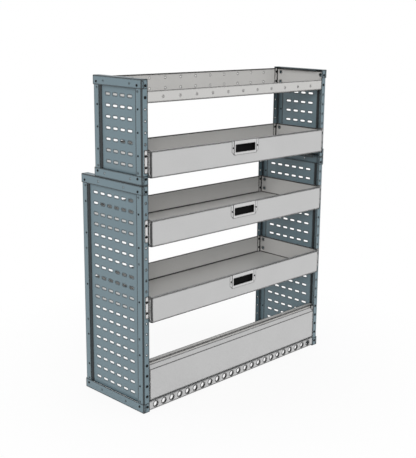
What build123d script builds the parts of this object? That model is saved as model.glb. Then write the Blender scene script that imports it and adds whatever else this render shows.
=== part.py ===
from build123d import *
import os

os.makedirs("parts", exist_ok=True)

# Lengths are in millimetres. X runs across the unit, the front faces -Y and the floor is at Z zero.
# The unit is two modules of end frames, one on the other, with shelves and doors between them.

# The modules
overall_width = 1250
lower_depth = 430
upper_depth = 330
hole_pitch = 50
end_hole = 28
lower_hole_count = 21
upper_hole_count = 9

# Angle posts
post_sheet = 2
post_bend = 7
post_front_flange = 35
post_side_flange = 40
hole_inset = 20.5
hole_width = 6.6
hole_sides = 4
wall_hole_rows = (5, 19)

# Cap rails over the ends of the posts
rail_sheet = 1.5
rail_height = 42
foot_rail_height = 45
rail_width = 35
rail_edge = 1.2
rail_lip = 8
rail_lip_gap = 4

# Infill panels
infill_sheet = 1
infill_recess = 10.5
infill_bend = 1.5
infill_lap = 30
infill_joggle = 6
infill_end_gap = 1
slot_length = 30
slot_height = 10
slot_pitch = 50
lower_slot_rows = 19
lower_slot_columns = 6
upper_slot_rows = 7
upper_slot_columns = 4

# Shelf trays and the top shelf
shelf_sheet = 1.2
shelf_bend = 2
shelf_gap = 0.3
floor_drop = 24
wall_rise = 70.5
tray_front_drop = 22
top_shelf_lip = 27
shelf_hem = 8
shelf_tab = 19.7
shelf_hole_width = 6.6
shelf_hole_pitch = 100
shelf_hole_edge = 20
access_hole_width = 14
access_hole_sides = 6
access_hole_inset = 28
first_shelf_row = 7
tray_rows = (1, 16, 9)

# Doors
door_sheet = 1.2
door_stand_off = 18
door_back_gap = 3
door_end_gap = 0.5
door_bend = 6
door_above = 71
door_below = 46
door_corner = 3
ear_top = 57
ear_bottom = 10
ear_cut = 9

# Hinge brackets, pivot pins and catches
bracket_sheet = 2
bracket_inset = 13
bracket_above = 77
bracket_below = 27
bracket_corner = 5
bracket_leg_depth = 14
bracket_leg_corner = 4
bracket_leg_gap = 0.8
pivot_back = 10.5
pivot_drop = 37.5
pivot_radius = 3
pivot_fit = 0.1
pivot_reach = 2
pivot_sides = 8
pivot_head_width = 10
pivot_head = 2.5
foot_radius = 6.5
catch_height = 67
catch_back = 9
catch_width = 5
catch_clearance = 0.3
dimple_width = 3

# Handles
handle_width = 137
handle_bottom = 14.5
handle_top = 53.3
bezel_width = 184
bezel_sheet = 2
bezel_strip_width = 154
bezel_strip_bottom = 2
cup_sheet = 1.5
cup_depth = 22
cup_lean = 9

# Base rail under the flap
base_sheet = 1.5
base_bend = 3
base_height = 50
base_floor_gap = 6
base_flange = 30
base_hole_width = 23
base_hole_sides = 8
base_hole_edge = 30
base_hole_height = 27

# Drop flap, its piano hinge and its catches
flap_sheet = 1.2
flap_bend = 2
flap_top = 202
flap_return = 18
flap_end_gap = 0.8
flap_corner = 12
leaf_sheet = 1.2
leaf_gap = 0.6
leaf_width = 20
knuckle_radius = 2.1
knuckle_count = 5
knuckle_gap = 0.4
knuckle_sides = 6
hinge_pin_radius = 1.2
hinge_fit = 0.1
hinge_front = 2
flap_catch_width = 30
flap_catch_height = 8
flap_catch_inset = 88.5
flap_catch_gap = 0.3

# Lintel rail behind the top of the flap
lintel_sheet = 1.5
lintel_bend = 2.5
lintel_back = 20
lintel_bottom = 190
lintel_top = 232
lintel_flange = 30

# Screws
screw_head_width = 11
screw_head = 3
head_sides = 6

# One overrun serves every cut.
overrun = 5


# Places worked out from the sizes
half_width = overall_width / 2
post_x = half_width - rail_sheet
hole_x = post_x - hole_inset
post_edge_x = post_x - post_front_flange
lower_height = (lower_hole_count - 1) * hole_pitch + 2 * end_hole
upper_height = (upper_hole_count - 1) * hole_pitch + 2 * end_hole
front_reach = door_stand_off + bezel_sheet
rear_reach = lower_depth + rail_sheet + screw_head
front_y = (front_reach - rear_reach) / 2

infill_outer_x = post_x - infill_recess
infill_inner_x = infill_outer_x - infill_sheet
shelf_end_x = infill_inner_x - shelf_gap
shelf_tab_x = shelf_end_x - shelf_tab
shelf_back_x = shelf_tab_x - shelf_gap
shelf_hole_count = 2 * int((shelf_back_x - shelf_hole_edge) // shelf_hole_pitch) + 1
base_hole_count = 2 * int((post_edge_x - base_hole_edge) // hole_pitch) + 1

door_half = post_edge_x - door_end_gap
door_face_y = front_y - door_stand_off
door_back_y = front_y - door_back_gap
pivot_y = front_y - pivot_back
leg_x = door_half + bracket_leg_gap
leg_outer_x = leg_x + bracket_sheet
bracket_outer_x = post_x - bracket_inset + rail_sheet

hinge_y = front_y - hinge_front
hinge_z = base_height + leaf_sheet + leaf_gap / 2
flap_bottom = base_height + 2 * leaf_sheet + leaf_gap
flap_half = post_edge_x - flap_end_gap
flap_catch_x = post_edge_x - flap_catch_inset

upper_first_hole = lower_height + end_hole
shelf_z = upper_first_hole + first_shelf_row * hole_pitch
tray_z = (
    upper_first_hole + tray_rows[0] * hole_pitch,
    end_hole + tray_rows[1] * hole_pitch,
    end_hole + tray_rows[2] * hole_pitch,
)
tray_depths = (upper_depth, lower_depth, lower_depth)


def folded(points, sheet, bend):
    """The end view of a folded sheet round the points of its middle; a flat of 45 degrees eases each bend."""
    course = [Vector(*points[0])]
    for before, corner, after in zip(points, points[1:], points[2:]):
        corner = Vector(*corner)
        course.append(corner + (Vector(*before) - corner).normalized() * bend)
        course.append(corner + (Vector(*after) - corner).normalized() * bend)
    course.append(Vector(*points[-1]))
    with BuildLine(mode=Mode.PRIVATE) as middle:
        Polyline(*course)
    return trace(middle.line, line_width=sheet, mode=Mode.PRIVATE).faces()


def save(piece, name):
    """Name a finished piece and write it."""
    piece.part.label = name
    export_step(piece.part, f"parts/{name}.step")


def slab(corner, other, mode=Mode.ADD):
    """A straight-sided block between two corners."""
    middle = [(a + b) / 2 for a, b in zip(corner, other)]
    size = [abs(a - b) for a, b in zip(corner, other)]
    with Locations(tuple(middle)):
        Box(*size, mode=mode)


def screw_heads(places, plane_of, width, height):
    """Hexagonal heads at the places of one plane, each standing on it."""
    with BuildSketch(plane_of) as heads:
        with Locations(*places):
            RegularPolygon(radius=width / 2, side_count=head_sides)
    extrude(heads.sketch, amount=height)


# End frames: angle posts, cap rails over their ends and a recessed infill panel, on each side of each module
def make_post(name, side, outer_y, inward, low, high, rows, round_rows=()):
    """An angle post; inward is the way along Y from its outer flange into the frame."""
    flange_y = outer_y + inward * post_sheet / 2
    web_x = side * (post_x - post_sheet / 2)
    with BuildPart() as post:
        with BuildSketch(Plane.XY.offset(low + rail_sheet)):
            corner = (web_x, flange_y)
            add(folded([
                (side * post_edge_x, flange_y),
                corner,
                (web_x, outer_y + inward * post_side_flange),
            ], post_sheet, post_bend - post_sheet / 2))
        extrude(amount=high - low - 2 * rail_sheet)
        with BuildSketch(Plane.XZ.offset(-outer_y)):
            with Locations((side * hole_x, (low + high) / 2)):
                with GridLocations(hole_pitch, hole_pitch, 1, rows):
                    RegularPolygon(radius=hole_width / 2, side_count=hole_sides)
            for row in round_rows:
                with Locations((side * hole_x, low + end_hole + row * hole_pitch)):
                    Circle(hole_width / 2)
        extrude(amount=-inward * post_sheet, mode=Mode.SUBTRACT)
    save(post, name)


def make_rail(name, side, edge, inward, depth, height):
    """A cap rail round the posts' ends; inward is the way along Z from the frame's end."""
    outer_x = side * half_width
    inner_x = side * (half_width - rail_width)
    back_y = front_y + depth
    with BuildPart() as rail:
        slab((outer_x, front_y - rail_sheet, edge), (inner_x, back_y + rail_sheet, edge + inward * height))
        along = rail.edges().filter_by(Axis.Y).group_by(Axis.X)[0 if side < 0 else -1]
        upright = rail.edges().filter_by(Axis.Z).group_by(Axis.X)[0 if side < 0 else -1]
        cap_edge = along.sort_by(Axis.Z)[0 if inward > 0 else -1]
        chamfer([cap_edge] + list(upright), length=rail_edge)
        slab(
            (outer_x - side * rail_sheet, front_y, edge + inward * rail_sheet),
            (inner_x - side * overrun, back_y, edge + inward * (height + overrun)),
            mode=Mode.SUBTRACT,
        )
        slab(
            (inner_x, front_y + post_side_flange + rail_lip_gap, edge),
            (inner_x + side * rail_sheet, back_y - post_side_flange - rail_lip_gap, edge + inward * rail_lip),
        )
    save(rail, name)


def make_infill(name, side, low, high, depth, rows, columns):
    """A panel whose upright edges are joggled outwards to lie on the posts' side flanges."""
    middle_x = side * (infill_outer_x - infill_sheet / 2)
    edge_x = side * (post_x - post_sheet - infill_sheet / 2)
    front_edge = front_y + post_side_flange - infill_lap
    back_edge = front_y + depth - post_side_flange + infill_lap
    front_step = front_y + post_side_flange
    back_step = front_y + depth - post_side_flange
    with BuildPart() as infill:
        with BuildSketch(Plane.XY.offset(low + rail_sheet + infill_end_gap)):
            add(folded([
                (edge_x, front_edge),
                (edge_x, front_step),
                (middle_x, front_step + infill_joggle),
                (middle_x, back_step - infill_joggle),
                (edge_x, back_step),
                (edge_x, back_edge),
            ], infill_sheet, infill_bend))
        extrude(amount=high - low - 2 * rail_sheet - 2 * infill_end_gap)
        with BuildSketch(Plane.YZ.offset(middle_x)):
            with Locations((front_y + depth / 2, (low + high) / 2)):
                with GridLocations(slot_pitch, slot_pitch, columns, rows):
                    Rectangle(slot_length, slot_height)
        extrude(amount=infill_sheet, both=True, mode=Mode.SUBTRACT)
    save(infill, name)


modules = (
    ("lower", 0, lower_height, lower_depth, lower_hole_count, foot_rail_height,
     lower_slot_rows, lower_slot_columns),
    ("upper", lower_height, lower_height + upper_height, upper_depth, upper_hole_count, rail_height,
     upper_slot_rows, upper_slot_columns),
)
sides = (("left", -1), ("right", 1))
for module, low, high, depth, hole_count, bottom_rail_height, slot_rows, slot_columns in modules:
    for word, side in sides:
        make_post(f"{word}_{module}_front_post", side, front_y, 1, low, high, hole_count)
        wall_rows = wall_hole_rows if module == "lower" else ()
        make_post(f"{word}_{module}_rear_post", side, front_y + depth, -1, low, high, hole_count, wall_rows)
        make_rail(f"{word}_{module}_bottom_rail", side, low, 1, depth, bottom_rail_height)
        make_rail(f"{word}_{module}_top_rail", side, high, -1, depth, rail_height)
        make_infill(f"{word}_{module}_infill", side, low, high, depth, slot_rows, slot_columns)


# Shelf pans rest on flanges at the foot of their end walls, and the end walls are screwed to the posts.
def make_pan(name, bolt_z, depth, front_rise):
    """A shelf pan; its front edge ends front_rise above its floor's middle, or below it."""
    floor_z = bolt_z - floor_drop - shelf_sheet / 2
    wall_z = bolt_z + wall_rise - shelf_sheet / 2
    front_mid = front_y + post_sheet + shelf_sheet / 2
    back_mid = front_y + depth - post_sheet - shelf_sheet / 2
    half = shelf_end_x - shelf_sheet - shelf_gap
    with BuildPart() as pan:
        with BuildSketch(Plane.YZ):
            add(folded([
                (front_mid, floor_z + front_rise),
                (front_mid, floor_z),
                (back_mid, floor_z),
                (back_mid, wall_z),
                (back_mid - shelf_hem, wall_z),
            ], shelf_sheet, shelf_bend))
        extrude(amount=half, both=True)
        notch = post_sheet + 2 * shelf_sheet + shelf_bend
        for side in (-1, 1):
            for edge_y, inward in ((front_y, 1), (front_y + depth, -1)):
                slab(
                    (side * shelf_back_x, edge_y, bolt_z - floor_drop - tray_front_drop - overrun),
                    (side * (half + overrun), edge_y + inward * notch, bolt_z + wall_rise + overrun),
                    mode=Mode.SUBTRACT,
                )
            slab(
                (side * shelf_back_x, back_mid - shelf_hem - overrun, bolt_z),
                (side * (half + overrun), back_mid + overrun, bolt_z + wall_rise + overrun),
                mode=Mode.SUBTRACT,
            )
        if front_rise > 0:
            for wall_y, heights in ((front_mid, (bolt_z,)), (back_mid, (bolt_z, bolt_z + hole_pitch))):
                with BuildSketch(Plane.XZ.offset(-wall_y)):
                    for height in heights:
                        with Locations((0, height)):
                            with GridLocations(shelf_hole_pitch, shelf_hole_pitch, shelf_hole_count, 1):
                                RegularPolygon(radius=shelf_hole_width / 2, side_count=hole_sides)
                extrude(amount=shelf_sheet, both=True, mode=Mode.SUBTRACT)
    save(pan, name)


def make_end_wall(name, side, bolt_z, depth, access_places):
    """The end wall of a shelf, with a tab behind each post's flange and a flange under the pan."""
    wall_x = side * (shelf_end_x - shelf_sheet / 2)
    tab_x = side * shelf_tab_x
    front_mid = front_y + post_sheet + shelf_sheet / 2
    back_mid = front_y + depth - post_sheet - shelf_sheet / 2
    foot_z = bolt_z - floor_drop - 2 * shelf_sheet
    top_z = bolt_z + wall_rise
    clear = post_sheet + 2 * shelf_sheet + shelf_bend
    with BuildPart() as wall:
        with BuildSketch(Plane.XY.offset(foot_z)):
            add(folded([
                (tab_x, front_mid), (wall_x, front_mid), (wall_x, back_mid), (tab_x, back_mid),
            ], shelf_sheet, shelf_bend))
        extrude(amount=top_z - foot_z)
        slab(
            (side * shelf_end_x, front_y + clear, foot_z),
            (tab_x, front_y + depth - clear, foot_z + shelf_sheet),
        )
        slab(
            (side * shelf_end_x, front_y + clear, top_z - shelf_sheet),
            (side * (shelf_end_x - shelf_hem), front_y + depth - clear, top_z),
        )
        with BuildSketch(Plane.YZ.offset(wall_x)):
            with Locations(*access_places):
                RegularPolygon(radius=access_hole_width / 2, side_count=access_hole_sides)
        extrude(amount=shelf_sheet, both=True, mode=Mode.SUBTRACT)
    save(wall, name)


top_shelf_rise = floor_drop + top_shelf_lip + shelf_sheet / 2
levels = [("top_shelf", shelf_z, upper_depth, top_shelf_rise)]
for number in range(3):
    levels.append((f"tray_{number + 1}", tray_z[number], tray_depths[number], -tray_front_drop))
for name, bolt_z, depth, front_rise in levels:
    rear_access_y = front_y + depth - access_hole_inset
    access_places = [(rear_access_y, bolt_z), (rear_access_y, bolt_z + hole_pitch)]
    if name == "top_shelf":
        access_places.append((front_y + access_hole_inset, bolt_z + hole_pitch))
    make_pan(f"{name}_pan", bolt_z, depth, front_rise)
    for word, side in sides:
        make_end_wall(f"{name}_{word}_end", side, bolt_z, depth, access_places)


# Doors: folded pans open at the back, turning at their lower corners on the brackets' pins
def make_door(name, bolt_z):
    """A door; its end flanges are cut back between an ear for the catch and an ear for the pivot."""
    low = bolt_z - door_below
    high = bolt_z + door_above
    end_x = door_half - door_sheet / 2
    face_mid = door_face_y + door_sheet / 2
    with BuildPart() as door:
        with BuildSketch(Plane.XY.offset(low)):
            add(folded([
                (-end_x, door_back_y), (-end_x, face_mid), (end_x, face_mid), (end_x, door_back_y),
            ], door_sheet, door_bend - door_sheet / 2))
        extrude(amount=high - low)
        for flange_z in (low, high - door_sheet):
            with BuildSketch(Plane.XY.offset(flange_z)) as flange:
                with Locations((0, (door_face_y + door_back_y) / 2)):
                    Rectangle(2 * door_half, door_back_y - door_face_y)
                chamfer(flange.vertices().group_by(Axis.Y)[0], length=door_bend)
            extrude(amount=door_sheet)
        with BuildSketch(Plane.YZ):
            with BuildLine():
                Polyline(
                    (door_back_y, low + door_corner),
                    (door_back_y - door_corner, low),
                    (door_back_y, low),
                    close=True,
                )
            make_face()
            with Locations((door_back_y - ear_cut / 2, bolt_z + (ear_top - ear_bottom) / 2)):
                Rectangle(ear_cut, ear_top + ear_bottom)
        extrude(amount=door_half, both=True, mode=Mode.SUBTRACT)
        with BuildSketch(Plane.YZ):
            with Locations((pivot_y, bolt_z - pivot_drop)):
                RegularPolygon(radius=pivot_radius + pivot_fit, side_count=pivot_sides, major_radius=False)
            with Locations((front_y - catch_back, bolt_z + catch_height)):
                RegularPolygon(radius=dimple_width / 2, side_count=hole_sides)
        extrude(amount=door_half, both=True, mode=Mode.SUBTRACT)
        slab(
            (-handle_width / 2, door_face_y - overrun, bolt_z + handle_bottom),
            (handle_width / 2, door_back_y, bolt_z + handle_top),
            mode=Mode.SUBTRACT,
        )
    save(door, name)


def make_bezel(name, bolt_z):
    """The pale frame round a handle, standing on the door's face up to its top edge."""
    half = bezel_width / 2
    strip_half = bezel_strip_width / 2
    top = bolt_z + door_above
    strip = bolt_z + bezel_strip_bottom
    corner = half - strip_half
    window_width = handle_width - 2 * cup_sheet
    window_height = handle_top - handle_bottom - 2 * cup_sheet
    with BuildPart() as bezel:
        with BuildSketch(Plane.XZ.offset(-door_face_y)):
            with BuildLine():
                Polyline(
                    (-half, top), (half, top), (half, strip + corner), (strip_half, strip),
                    (-strip_half, strip), (-half, strip + corner), close=True,
                )
            make_face()
            with Locations((0, bolt_z + (handle_bottom + handle_top) / 2)):
                Rectangle(window_width, window_height, mode=Mode.SUBTRACT)
        extrude(amount=bezel_sheet)
    save(bezel, name)


def make_cup(name, bolt_z):
    """The finger cup of a handle: open at the front, with a floor that slopes up to a deep top."""
    bottom = bolt_z + handle_bottom
    top = bolt_z + handle_top
    back_y = door_face_y + cup_depth
    half = handle_width / 2
    with BuildPart() as cup:
        with BuildSketch(Plane.YZ):
            with BuildLine():
                Polyline(
                    (door_face_y, bottom),
                    (back_y - cup_lean, bottom),
                    (back_y, top),
                    (door_face_y, top),
                    close=True,
                )
            make_face()
        extrude(amount=half, both=True)
        with BuildSketch(Plane.YZ):
            with BuildLine():
                Polyline(
                    (door_face_y - overrun, bottom + cup_sheet),
                    (back_y - cup_lean - cup_sheet, bottom + cup_sheet),
                    (back_y - cup_sheet, top - cup_sheet),
                    (door_face_y - overrun, top - cup_sheet),
                    close=True,
                )
            make_face()
        extrude(amount=half - cup_sheet, both=True, mode=Mode.SUBTRACT)
    save(cup, name)


# Brackets on the front posts carry each door's pins and catches.
def make_brackets(name, bolt_z):
    """The two brackets of a door: a flange on the post and a leg beside the door's end."""
    top = bolt_z + bracket_above
    low = bolt_z - bracket_below
    pivot_z = bolt_z - pivot_drop
    flange_y = front_y - bracket_sheet
    leg_y = front_y - bracket_leg_depth
    with BuildPart() as brackets:
        for side in (-1, 1):
            outer = side * bracket_outer_x
            with BuildSketch(Plane.XZ.offset(-front_y)):
                with BuildLine():
                    Polyline(
                        (side * leg_x, top),
                        (outer - side * bracket_corner, top),
                        (outer, top - bracket_corner),
                        (outer, low + bracket_corner),
                        (outer - side * bracket_corner, low),
                        (side * leg_x, low),
                        close=True,
                    )
                make_face()
            extrude(amount=bracket_sheet)
            with BuildSketch(Plane.YZ.offset(side * (leg_x + leg_outer_x) / 2)):
                with BuildLine():
                    Polyline(
                        (front_y, top),
                        (leg_y + bracket_leg_corner, top),
                        (leg_y, top - bracket_leg_corner),
                        (leg_y, low),
                        (pivot_y - foot_radius, pivot_z),
                        (pivot_y - foot_radius / 2, pivot_z - foot_radius),
                        (pivot_y + foot_radius / 2, pivot_z - foot_radius),
                        (pivot_y + foot_radius, pivot_z),
                        (front_y, low),
                        close=True,
                    )
                make_face()
                with Locations((pivot_y, pivot_z)):
                    RegularPolygon(radius=pivot_radius, side_count=pivot_sides, mode=Mode.SUBTRACT)
            extrude(amount=bracket_sheet / 2, both=True)
    save(brackets, name)


for number in range(3):
    bolt_z = tray_z[number]
    make_door(f"door_{number + 1}_panel", bolt_z)
    make_bezel(f"door_{number + 1}_handle_frame", bolt_z)
    make_cup(f"door_{number + 1}_handle_cup", bolt_z)
    make_brackets(f"door_{number + 1}_brackets", bolt_z)

with BuildPart() as pivot_pins:
    for bolt_z in tray_z:
        for side in (-1, 1):
            inner = side * (door_half - door_sheet - pivot_reach)
            outer = side * leg_outer_x
            with BuildSketch(Plane.YZ.offset((inner + outer) / 2)):
                with Locations((pivot_y, bolt_z - pivot_drop)):
                    RegularPolygon(radius=pivot_radius, side_count=pivot_sides)
            extrude(amount=abs(outer - inner) / 2, both=True)
            with BuildSketch(Plane.YZ.offset(outer)):
                with Locations((pivot_y, bolt_z - pivot_drop)):
                    RegularPolygon(radius=pivot_head_width / 2, side_count=head_sides)
            extrude(amount=side * pivot_head)
save(pivot_pins, "pivot_pins")

with BuildPart() as door_catches:
    for bolt_z in tray_z:
        for side in (-1, 1):
            with BuildSketch(Plane.YZ.offset(side * leg_x)):
                with Locations((front_y - catch_back, bolt_z + catch_height)):
                    RegularPolygon(radius=catch_width / 2, side_count=head_sides)
            extrude(amount=-side * (bracket_leg_gap - catch_clearance))
save(door_catches, "door_catches")

# Base rail: an upright web with large holes and a flange that carries the flap's hinge
base_web_y = front_y + post_sheet + base_sheet / 2
with BuildPart() as base_rail:
    with BuildSketch(Plane.YZ):
        add(folded([
            (base_web_y, base_floor_gap),
            (base_web_y, base_height - base_sheet / 2),
            (front_y + post_sheet + base_flange, base_height - base_sheet / 2),
        ], base_sheet, base_bend))
    extrude(amount=shelf_end_x, both=True)
    with BuildSketch(Plane.XZ.offset(-base_web_y)):
        with Locations((0, base_hole_height)):
            with GridLocations(hole_pitch, hole_pitch, base_hole_count, 1):
                RegularPolygon(radius=base_hole_width / 2, side_count=base_hole_sides)
    extrude(amount=base_sheet, both=True, mode=Mode.SUBTRACT)
save(base_rail, "base_rail")

# Lintel rail, with ends stepped forward to lie behind the posts' flanges
lintel_web_y = front_y + lintel_back + lintel_sheet / 2
lintel_tab_y = front_y + post_sheet + lintel_sheet / 2
lintel_step_x = post_edge_x + lintel_sheet
with BuildPart() as lintel_rail:
    with BuildSketch(Plane.XY.offset(lintel_bottom)):
        add(folded([
            (-shelf_end_x, lintel_tab_y),
            (-lintel_step_x, lintel_tab_y),
            (-lintel_step_x, lintel_web_y),
            (lintel_step_x, lintel_web_y),
            (lintel_step_x, lintel_tab_y),
            (shelf_end_x, lintel_tab_y),
        ], lintel_sheet, lintel_bend))
    extrude(amount=lintel_top - lintel_bottom)
    slab(
        (-shelf_end_x, front_y + lintel_back, lintel_top - lintel_sheet),
        (shelf_end_x, front_y + lintel_back + lintel_flange, lintel_top),
    )
save(lintel_rail, "lintel_rail")

# Drop flap with an inclined grip edge, end returns and a bottom return on the hinge's upper leaf
flap_mid_y = front_y + flap_sheet / 2
flap_floor_z = flap_bottom + flap_sheet / 2
with BuildPart() as flap_panel:
    with BuildSketch(Plane.YZ):
        add(folded([
            (front_y + flap_return, flap_floor_z),
            (flap_mid_y, flap_floor_z),
            (flap_mid_y, flap_top),
            (flap_mid_y + flap_return, flap_top + flap_return),
        ], flap_sheet, flap_bend))
    extrude(amount=flap_half, both=True)
    for side in (-1, 1):
        end = side * flap_half
        slab(
            (end, front_y + flap_sheet / 2, flap_bottom),
            (end - side * flap_sheet, front_y + flap_return, flap_top - flap_sheet),
        )
        with BuildSketch(Plane.XZ.offset(-front_y)):
            with BuildLine():
                Polyline(
                    (end, flap_top),
                    (end - side * flap_corner, flap_top + flap_return + overrun),
                    (end + side * overrun, flap_top + flap_return + overrun),
                    (end + side * overrun, flap_top),
                    close=True,
                )
            make_face()
        extrude(amount=-flap_return - overrun, mode=Mode.SUBTRACT)
save(flap_panel, "flap_panel")

knuckle_length = 2 * flap_half / knuckle_count
leaf_front = hinge_y + knuckle_radius + knuckle_gap


def make_leaf(name, low, first):
    """A hinge leaf with every other knuckle, starting from the first."""
    leaf_end = hinge_y + leaf_width
    with BuildPart() as leaf:
        slab((-flap_half, leaf_front, low), (flap_half, leaf_end, low + leaf_sheet))
        for number in range(first, knuckle_count, 2):
            start = -flap_half + number * knuckle_length + knuckle_gap / 2
            end = start + knuckle_length - knuckle_gap
            slab((start, hinge_y, low), (end, leaf_end, low + leaf_sheet))
            with BuildSketch(Plane.YZ.offset((start + end) / 2)):
                with Locations((hinge_y, hinge_z)):
                    RegularPolygon(radius=knuckle_radius, side_count=knuckle_sides)
            extrude(amount=(end - start) / 2, both=True)
        with BuildSketch(Plane.YZ):
            with Locations((hinge_y, hinge_z)):
                RegularPolygon(
                    radius=hinge_pin_radius + hinge_fit, side_count=knuckle_sides, major_radius=False,
                )
        extrude(amount=flap_half, both=True, mode=Mode.SUBTRACT)
    save(leaf, name)


make_leaf("flap_hinge_lower_leaf", base_height, 0)
make_leaf("flap_hinge_upper_leaf", base_height + leaf_sheet + leaf_gap, 1)

with BuildPart() as flap_hinge_pin:
    with BuildSketch(Plane.YZ):
        with Locations((hinge_y, hinge_z)):
            RegularPolygon(radius=hinge_pin_radius, side_count=knuckle_sides)
    extrude(amount=flap_half, both=True)
save(flap_hinge_pin, "flap_hinge_pin")

flap_catch_top = lintel_bottom + flap_catch_height
with BuildPart() as flap_catches:
    for side in (-1, 1):
        slab(
            (side * flap_catch_x, front_y + flap_sheet + flap_catch_gap, lintel_bottom),
            (side * (flap_catch_x - flap_catch_width), front_y + lintel_back, flap_catch_top),
        )
save(flap_catches, "flap_catches")

# Screws of the frames, through the rails' tabs at the front and the rear
with BuildPart() as frame_screws:
    for module, low, high, depth, hole_count, bottom_rail_height, slot_rows, slot_columns in modules:
        heights = (low + end_hole, high - end_hole)
        tab_places = [(side * hole_x, height) for side in (-1, 1) for height in heights]
        front_face = Plane.XZ.offset(rail_sheet - front_y)
        rear_face = Plane.XZ.offset(-front_y - depth - rail_sheet)
        screw_heads(tab_places, front_face, screw_head_width, screw_head)
        screw_heads(tab_places, rear_face, screw_head_width, -screw_head)
save(frame_screws, "frame_screws")

# Screws that hold the brackets and the shelves' front tabs to the front posts
with BuildPart() as bracket_screws:
    bracket_places = []
    for bolt_z in tray_z:
        for height in (bolt_z, bolt_z + hole_pitch):
            bracket_places += [(-hole_x, height), (hole_x, height)]
    screw_heads(bracket_places, Plane.XZ.offset(-(front_y - bracket_sheet)), screw_head_width, screw_head)
save(bracket_screws, "bracket_screws")
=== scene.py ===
import math
from itertools import product

import bmesh
import bpy
from mathutils import Matrix, Vector


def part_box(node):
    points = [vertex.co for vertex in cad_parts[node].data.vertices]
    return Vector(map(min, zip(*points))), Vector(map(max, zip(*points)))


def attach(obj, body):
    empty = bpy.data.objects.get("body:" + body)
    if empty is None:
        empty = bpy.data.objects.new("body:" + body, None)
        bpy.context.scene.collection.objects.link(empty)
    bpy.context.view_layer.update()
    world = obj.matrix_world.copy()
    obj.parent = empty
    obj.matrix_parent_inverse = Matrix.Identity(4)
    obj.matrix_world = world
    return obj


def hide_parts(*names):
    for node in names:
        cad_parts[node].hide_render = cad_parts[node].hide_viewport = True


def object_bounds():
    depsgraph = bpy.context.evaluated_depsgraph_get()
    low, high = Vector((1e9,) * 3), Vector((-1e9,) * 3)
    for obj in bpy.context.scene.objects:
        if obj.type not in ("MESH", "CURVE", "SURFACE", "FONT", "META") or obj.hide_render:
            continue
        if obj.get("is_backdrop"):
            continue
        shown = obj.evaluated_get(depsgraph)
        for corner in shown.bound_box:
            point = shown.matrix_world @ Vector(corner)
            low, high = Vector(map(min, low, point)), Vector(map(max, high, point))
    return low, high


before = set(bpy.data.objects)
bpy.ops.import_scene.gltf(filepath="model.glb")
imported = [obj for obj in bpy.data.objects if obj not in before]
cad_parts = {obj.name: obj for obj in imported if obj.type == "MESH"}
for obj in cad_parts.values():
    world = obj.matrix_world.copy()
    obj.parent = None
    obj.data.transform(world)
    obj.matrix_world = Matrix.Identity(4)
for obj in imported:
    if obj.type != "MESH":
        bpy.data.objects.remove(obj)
cad_low, cad_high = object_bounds()
mm = 0.001

# Angle posts
# Eight folded steel angles stand at the corners of the two stacked modules. Each is 2 mm sheet with a
# generous bend and a row of 6.6 mm holes on a 50 mm pitch, powder coated in a satin blue-grey.
post_sheet = 2 * mm
post_bend = 7 * mm
post_face_flange = 35 * mm
post_side_flange = 40 * mm
post_bend_steps = 7
hole_pitch = 50 * mm
hole_width = 6.6 * mm
hole_steps = 16
hole_inset = 20.5 * mm
end_hole = 28 * mm
side_hole_width = 5 * mm
side_hole_inset = 25 * mm
side_hole_heights = {
    "lower": (53 * mm, 353 * mm, 703 * mm, 1003 * mm),
    "upper": (1109 * mm, 1459 * mm),
}
rail_sheet = 1.5 * mm
through = 4  # a punch is this many sheets long
touching = 0.01 * mm  # places nearer than this are the same
smooth_below = math.radians(35)

# The coat drifts in clouds of 160 mm. Its orange peel is 1 to 2 mm across and is drawn at 5 mm so
# that it shows. Painted shade darkens it within 9 mm of a sharp edge and round a bend.
blue_grey_paint = "697C84"
# painted shade: the dark colour that edges and bends take on the blue-grey coat
blue_grey_shade_line = "0C1011"
coat_cloud = 160 * mm
coat_cloud_tone = 0.05
coat_peel = 5 * mm
coat_peel_tone = 0.08
coat_peel_gloss = 0.05
coat_peel_height = 0.1 * mm
coat_peel_strength = 0.12
# painted shade: how far from a sharp edge, and how strongly round a bend, the coat is darkened
edge_shade_reach = 9 * mm
bend_shade_strength = 0.92
lean_margin = 0.006

# How far a normal has turned, as a cosine: where the painted shade starts and where it is full.
edge_starts, edge_full = 0.988, 0.965
bend_starts, bend_full = 0.999, 0.965
edge_samples = 12


def linear(colour):
    """An sRGB hex colour as linear light."""
    levels = [int(colour[i:i + 2], 16) / 255 for i in (0, 2, 4)]
    return [v / 12.92 if v <= 0.04045 else ((v + 0.055) / 1.055) ** 2.4 for v in levels] + [1]


def add_node(tree, kind, values=None, links=None, **settings):
    """A shader node with its properties, the numbers on its sockets, and the sockets feeding it."""
    node = tree.nodes.new(kind)
    for name, value in settings.items():
        setattr(node, name, value)
    for name, value in (values or {}).items():
        node.inputs[name].default_value = value
    for name, source in (links or {}).items():
        tree.links.new(source, node.inputs[name])
    return node


def new_material(name):
    """A new material with its node tree."""
    material = bpy.data.materials.new(name)
    material.use_nodes = True
    return material, material.node_tree


def mottle(tree, size, detail, low, high):
    """A soft random pattern of a real size: the pattern itself, and as a factor from low to high."""
    place = add_node(tree, "ShaderNodeTexCoord").outputs["Object"]
    noise = add_node(tree, "ShaderNodeTexNoise", {"Scale": 1 / size, "Detail": detail},
                     {"Vector": place})
    factor = add_node(tree, "ShaderNodeMapRange", {"To Min": low, "To Max": high},
                      {"Value": noise.outputs["Fac"]})
    return noise.outputs["Fac"], factor.outputs["Result"]


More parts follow.
